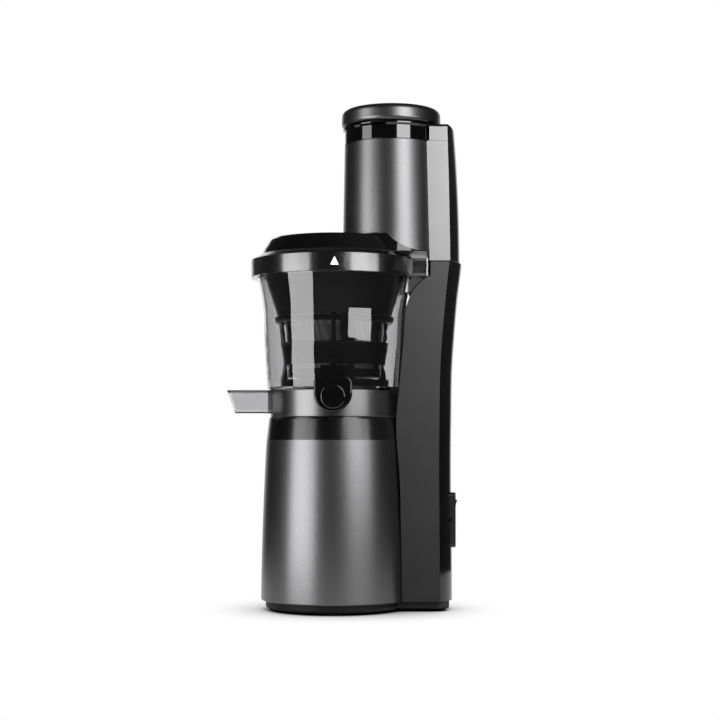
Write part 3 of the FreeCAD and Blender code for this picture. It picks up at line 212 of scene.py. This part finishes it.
# %% [markdown]
# The bowl is a smoky copolyester. It lets the light through, tinted a neutral grey, and mirrors
# the softboxes on its skin. Its colour is the tint for light that goes through one wall. Its foot
# band and rim are thicker, darker and satin, as from a blasted part of the mould. The neck towards
# the tower is tinted dark as painted shade, for the shade of the tower's recess behind it. They
# are one moulding, so the finish isn't split into materials: masks from the bowl's own height and
# width tell the shader where each begins.

# %% Smoky clear plastic
BAND_TOP = 0.1957
RIM_FOOT = 0.2965
SPOUT_START = -0.0590
NECK_SHADE_START = 0.066
SATIN_METALLIC = 0.22
CLEAR_IOR = 1.62  # a little over the resin's own, for the bright skin of thick walls
RIPPLE_MM = 40
RIPPLE_DEPTH_MM = 0.05


def make_clear(name, tint, dark_tint, neck_shade_tint, roughness, rim_roughness, band_roughness):
    """Clear plastic whose foot band and rim come from a satin, darker part of the mould, and whose
    neck towards the tower carries painted shade.
    """
    material, tree, shader = surface(name, tint, roughness, 0.0, Transmission_Weight=1.0,
                                     IOR=CLEAR_IOR)
    where = add(tree, "TexCoord").outputs["Object"]
    ripple = add(tree, "TexNoise", Vector=where, Scale=1 / (RIPPLE_MM * MM), Detail=1.0)
    bump = add(tree, "Bump", Height=ripple.outputs["Fac"], Strength=1.0,
               Distance=RIPPLE_DEPTH_MM * MM)
    tree.links.new(bump.outputs[0], shader.inputs["Normal"])

    split = add(tree, "SeparateXYZ", Vector=where)
    height, width = split.outputs["Z"], split.outputs["X"]
    low = add(tree, "Math", {"operation": "LESS_THAN"}, i0=height, i1=BAND_TOP)
    inside = add(tree, "Math", {"operation": "GREATER_THAN"}, i0=width, i1=SPOUT_START)
    band = add(tree, "Math", {"operation": "MULTIPLY"}, i0=low.outputs[0], i1=inside.outputs[0])
    rim = add(tree, "Math", {"operation": "GREATER_THAN"}, i0=height, i1=RIM_FOOT)
    satin = add(tree, "Math", {"operation": "MAXIMUM"}, i0=band.outputs[0], i1=rim.outputs[0])
    # Painted shade: past this width, the neck towards the tower is tinted dark for the shade of
    # the tower's recess behind it.
    neck_shade = add(tree, "Math", {"operation": "GREATER_THAN"}, i0=width, i1=NECK_SHADE_START)

    rim_part = add(tree, "MapRange", Value=rim.outputs[0], To_Min=roughness, To_Max=rim_roughness)
    band_part = add(tree, "MapRange", Value=band.outputs[0], To_Min=roughness,
                    To_Max=band_roughness)
    rough = add(tree, "Math", {"operation": "MAXIMUM"}, i0=rim_part.outputs[0],
                i1=band_part.outputs[0])
    tree.links.new(rough.outputs[0], shader.inputs["Roughness"])
    plated = add(tree, "Math", {"operation": "MULTIPLY"}, i0=satin.outputs[0], i1=SATIN_METALLIC)
    tree.links.new(plated.outputs[0], shader.inputs["Metallic"])
    wall_tone = add(tree, "MixRGB", Fac=neck_shade.outputs[0], Color1=linear(tint),
                    Color2=linear(neck_shade_tint))
    tone = add(tree, "MixRGB", Fac=satin.outputs[0], Color1=wall_tone.outputs[0],
               Color2=linear(dark_tint))
    tree.links.new(tone.outputs[0], shader.inputs["Base Color"])
    return material


# The third colour is the neck's painted shade, not a tint of the resin.
SMOKE = make_clear("smoky_copolyester", "#DEDEDF", "#8C8C8D", "#4A4A4B", 0.02, 0.17, 0.28)
print("clear:", SMOKE.name)

# %% [markdown]
# Every part of the frame now gets the finish of the real piece. Each part could be dressed where
# its finish is made, but one list from finish to parts shows at a glance what is made of what.

# %% Finishes of the frame's parts
FINISHES = [
    (GUNMETAL, "drum_shell chute_sleeve pusher_flange"),
    (GLOSS_ABS, "tower_back_cover rocker_button juice_cap lid_cover tail_back"),
    (SATIN_ABS, "deck_ring"),
    (DARK_CHROME, "chute_collar"),
    (CHARCOAL_ABS, "tower_housing base_plinth"),
    (PANEL_ABS, "tail_panels"),
    (MATTE_ABS, "tower_cap interlock_switch switch_bezel brush_cap gearbox_case gearbox_lid "
                "strainer_frame wiper_frame wiper_gear lid_funnel auger auger_flight chute_liner "
                "interlock_tab pusher_tube"),
    (STAINLESS, "strainer_mesh"),
    (STEEL, "case_screws gear_pins motor_can shaft_bearings gearbox_screws motor_rotor "
            "second_gear output_gear hex_shaft cap_pin"),
    (MAGNET, "motor_magnets"),
    (SILICONE, "deck_seal bowl_gasket pulp_plug wiper_blades auger_cap cap_seal lid_gasket"),
    (RUBBER, "rubber_feet cord_bush"),
    (NYLON, "first_gear"),
    (BOARD, "circuit_board"),
    (PRINT, "bowl_mark"),
    (SMOKE, "bowl"),
]
for finish, names in FINISHES:
    for name in names.split():
        mesh = bpy.data.objects[name].data
        mesh.materials.clear()
        mesh.materials.append(finish)
print("finished", sum(len(names.split()) for _, names in FINISHES), "parts")

# %% [markdown]
# The rocker carries the two usual printed marks, a bar and a ring. A picture could hold them, but
# a thin sheet of print keeps its edge from any distance. It has to follow the rocker's curved
# face: a ray goes to the face from every corner of the flat mark, and the corner is put where it
# lands.

# %% Marks on the rocker
from mathutils.bvhtree import BVHTree

PRINT_LIFT = 0.08 * MM
RAY_LENGTH = 20 * MM


def strip(points, half, closed=False):
    """Flat ribbon of even width along 2D points: its corner pairs, in order."""
    pairs = []
    count = len(points)
    for i, point in enumerate(points):
        before = points[(i - 1) % count] if closed or i > 0 else point
        after = points[(i + 1) % count] if closed or i < count - 1 else point
        along = (Vector(after) - Vector(before)).normalized()
        across = Vector((-along.y, along.x)) * half
        pairs.append((Vector(point) + across, Vector(point) - across))
    return pairs


def lay_on_rocker(name, pairs, closed, centre):
    """Lay a ribbon on the rocker's face, which looks along +X."""
    source = bpy.data.objects["rocker_button"].data
    face = BVHTree.FromPolygons([p.co.copy() for p in source.vertices],
                                [tuple(f.vertices) for f in source.polygons])
    out = Vector((1, 0, 0))
    bm = bmesh.new()
    rows = []
    for pair in pairs:
        starts = [centre + Vector((RAY_LENGTH, flat.x, flat.y)) for flat in pair]
        rows.append([bm.verts.new(face.ray_cast(start, -out)[0] + out * PRINT_LIFT)
                     for start in starts])
    count = len(rows)
    for i in range(count if closed else count - 1):
        a, b = rows[i], rows[(i + 1) % count]
        bm.faces.new((a[0], a[1], b[1], b[0]))
    mesh = bpy.data.meshes.new(name)
    bm.to_mesh(mesh)
    piece = bpy.data.objects.new(name, mesh)
    bpy.context.collection.objects.link(piece)
    mesh.materials.append(PRINT)
    return piece


MARK_REACH = 10.5 * MM
MARK_SIZE = 2.6 * MM
MARK_HALF_LINE = 0.35 * MM
RING_STEPS = 32
BAR_STEPS = 8
rocker_low, rocker_high = [Vector(v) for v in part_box("rocker_button")]
rocker_face = Vector((rocker_high.x, 0, (rocker_low.z + rocker_high.z) / 2))
ring = [(MARK_SIZE * math.cos(2 * math.pi * i / RING_STEPS),
         MARK_SIZE * math.sin(2 * math.pi * i / RING_STEPS)) for i in range(RING_STEPS)]
bar = [(0, -MARK_SIZE + 2 * MARK_SIZE * i / BAR_STEPS) for i in range(BAR_STEPS + 1)]
for name, points, closed, side in (("rocker_ring", ring, True, -1), ("rocker_bar", bar, False, 1)):
    mark = lay_on_rocker(name, strip(points, MARK_HALF_LINE, closed), closed,
                         rocker_face + Vector((0, 0, side * MARK_REACH)))
    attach(mark, "rocker")
print("two marks on the rocker")

# %% [markdown]
# The floor is plain white. Its glow is dimmed where the juicer shuts out the sky, which leaves the
# tight soft shadow at the foot. A lit white floor would need more light than the juicer can bear,
# so it glows for the eye, the clear bowl and the mirrors, and is a grey floor to light that
# bounces. The world is white to the eye and straight through the clear bowl. In reflections it is
# white only behind the juicer and dark elsewhere, as in a studio with black cloth round the
# camera, because a white room on all sides turns black gloss to grey.

# %% Floor
FLOOR_RADIUS = 0.50
SHADOW_REACH = 0.11


def make_floor():
    """A white disc with a soft contact shadow."""
    material = bpy.data.materials.new("white_floor")
    material.use_nodes = True
    tree = material.node_tree
    tree.nodes.clear()
    shade = add(tree, "AmbientOcclusion", Distance=SHADOW_REACH)
    level = add(tree, "ValToRGB", Fac=shade.outputs["AO"])
    level.color_ramp.elements[0].position = 0.15
    level.color_ramp.elements[1].position = 0.85
    glow = add(tree, "Emission", Color=level.outputs[0], Strength=1.0)
    matte = add(tree, "BsdfDiffuse", Color=linear("#5A5A5A"))
    path = add(tree, "LightPath")
    direct = add(tree, "Math", {"operation": "MAXIMUM"}, i0=path.outputs["Is Camera Ray"],
                 i1=path.outputs["Is Transmission Ray"])
    seen = add(tree, "Math", {"operation": "MAXIMUM"}, i0=direct.outputs[0],
               i1=path.outputs["Is Glossy Ray"])
    mix = add(tree, "MixShader", i0=seen.outputs[0], i1=matte.outputs[0], i2=glow.outputs[0])
    add(tree, "OutputMaterial", Surface=mix.outputs[0])
    bm = bmesh.new()
    bmesh.ops.create_circle(bm, cap_ends=True, segments=96, radius=FLOOR_RADIUS)
    mesh = bpy.data.meshes.new("floor")
    bm.to_mesh(mesh)
    floor = bpy.data.objects.new("floor", mesh)
    bpy.context.collection.objects.link(floor)
    mesh.materials.append(material)


make_floor()
print("floor of radius", FLOOR_RADIUS)

# %% World
BEHIND = 0.86  # how far towards +Y a reflected ray has to point to see white
DIM = 0.05


def make_world():
    """White to the eye, through the bowl, and in mirrors only behind the juicer."""
    world = bpy.data.worlds.new("studio")
    bpy.context.scene.world = world
    world.use_nodes = True
    tree = world.node_tree
    tree.nodes.clear()
    path = add(tree, "LightPath")
    bounces = add(tree, "Math", {"operation": "ADD"}, i0=path.outputs["Diffuse Depth"],
                  i1=path.outputs["Glossy Depth"])
    fresh = add(tree, "Math", {"operation": "LESS_THAN"}, i0=bounces.outputs[0], i1=0.5)
    through = add(tree, "Math", {"operation": "MULTIPLY"},
                  i0=path.outputs["Is Transmission Ray"], i1=fresh.outputs[0])
    direct = add(tree, "Math", {"operation": "MAXIMUM"}, i0=path.outputs["Is Camera Ray"],
                 i1=through.outputs[0])
    heading = add(tree, "SeparateXYZ", Vector=add(tree, "TexCoord").outputs["Generated"])
    behind = add(tree, "Math", {"operation": "GREATER_THAN"}, i0=heading.outputs["Y"], i1=BEHIND)
    mirrored = add(tree, "Math", {"operation": "MULTIPLY"}, i0=path.outputs["Is Glossy Ray"],
                   i1=behind.outputs[0])
    seen = add(tree, "Math", {"operation": "MAXIMUM"}, i0=direct.outputs[0],
               i1=mirrored.outputs[0])
    white = add(tree, "Background", Color=(1, 1, 1, 1), Strength=1.0)
    dim = add(tree, "Background", Color=(1, 1, 1, 1), Strength=DIM)
    mix = add(tree, "MixShader", i0=seen.outputs[0], i1=dim.outputs[0], i2=white.outputs[0])
    add(tree, "OutputWorld", Surface=mix.outputs[0])


make_world()
print("world:", bpy.context.scene.world.name)

# %% [markdown]
# Softboxes stand left and right of the camera, a low and a high one on each side, and a dim one
# stands behind. On a drum, a lamp at an angle from the camera mirrors at half that angle from the
# middle, so the bright stripes sit where the lamps put them. The drum narrows upwards and the bowl
# widens, so they mirror different heights: a low and a high lamp can set their stripes apart, and
# one big lamp couldn't. Three of them light mirrors only, and a small fill over the front right
# lights the matte tower from near its top, so that it darkens downwards.

# %% Softboxes
SOFTBOX_DISTANCE = 1.5


def hang(name, lamp, where, target):
    """Put a lamp in its place, out of sight, and turn it to its target."""
    thing = bpy.data.objects.new(name, lamp)
    bpy.context.collection.objects.link(thing)
    thing.location = where
    thing.rotation_euler = (Vector(target) - thing.location).to_track_quat("-Z", "Y").to_euler()
    thing.visible_camera = False
    thing.visible_transmission = False
    return thing


def softbox(name, angle, half_angle, low, high, glow, diffuse=True):
    """A lamp at an angle from the camera's side, between two heights; glow is its brightness."""
    width = 2 * SOFTBOX_DISTANCE * math.tan(math.radians(half_angle))
    lamp = bpy.data.lights.new(name, "AREA")
    lamp.shape = "RECTANGLE"
    lamp.size = width
    lamp.size_y = high - low
    lamp.energy = glow * math.pi * width * (high - low)
    turn = math.radians(angle)
    middle = (low + high) / 2
    where = (SOFTBOX_DISTANCE * math.sin(turn), -SOFTBOX_DISTANCE * math.cos(turn), middle)
    hang(name, lamp, where, (0, 0, middle)).visible_diffuse = diffuse


softbox("left_low", -52, 20, -0.45, 0.50, 6.6, diffuse=False)
softbox("right_low", 42, 19, 0.20, 0.50, 6.8, diffuse=False)
softbox("left_high", -62, 13, 0.52, 1.50, 3.6)
softbox("right_high", 31, 16, 0.52, 1.50, 7.6, diffuse=False)
softbox("back", 170, 30, 0.0, 1.30, 0.3)
print("five softboxes at", SOFTBOX_DISTANCE, "m")

# %% Fill
FILL_WATTS = 5.6
FILL_SIZE = 0.20
fill = bpy.data.lights.new("top_fill", "AREA")
fill.size = FILL_SIZE
fill.energy = FILL_WATTS
hang("top_fill", fill, (0.27, -0.25, 0.43), (0.08, 0, 0.28)).visible_glossy = False
print("fill of", FILL_WATTS, "W")

# %% [markdown]
# The camera looks straight at the front from a third of the juicer's height, with a long lens. It
# could be tilted up to frame the whole of it, but then the upright edges would lean together. The
# lens is shifted up instead, as far as the framing needs.

# %% Camera
CAMERA_DISTANCE = 1.44
CAMERA_X = 0.023
CAMERA_Z = 0.152
LENS = 80.0
SENSOR = 36.0
SHIFT = 0.111

camera_data = bpy.data.cameras.new("camera")
camera_data.lens = LENS
camera_data.sensor_width = SENSOR
camera = bpy.data.objects.new("camera", camera_data)
bpy.context.collection.objects.link(camera)
camera.location = (CAMERA_X, -CAMERA_DISTANCE, CAMERA_Z)
camera.rotation_euler = (math.radians(90), 0, 0)
camera_data.shift_y = SHIFT
bpy.context.scene.camera = camera
bpy.context.scene.view_settings.view_transform = "Standard"
print("camera at", tuple(camera.location))

# %% [markdown]
# The juicer is now dressed, lit and framed.

# %% End
print("dressing done")
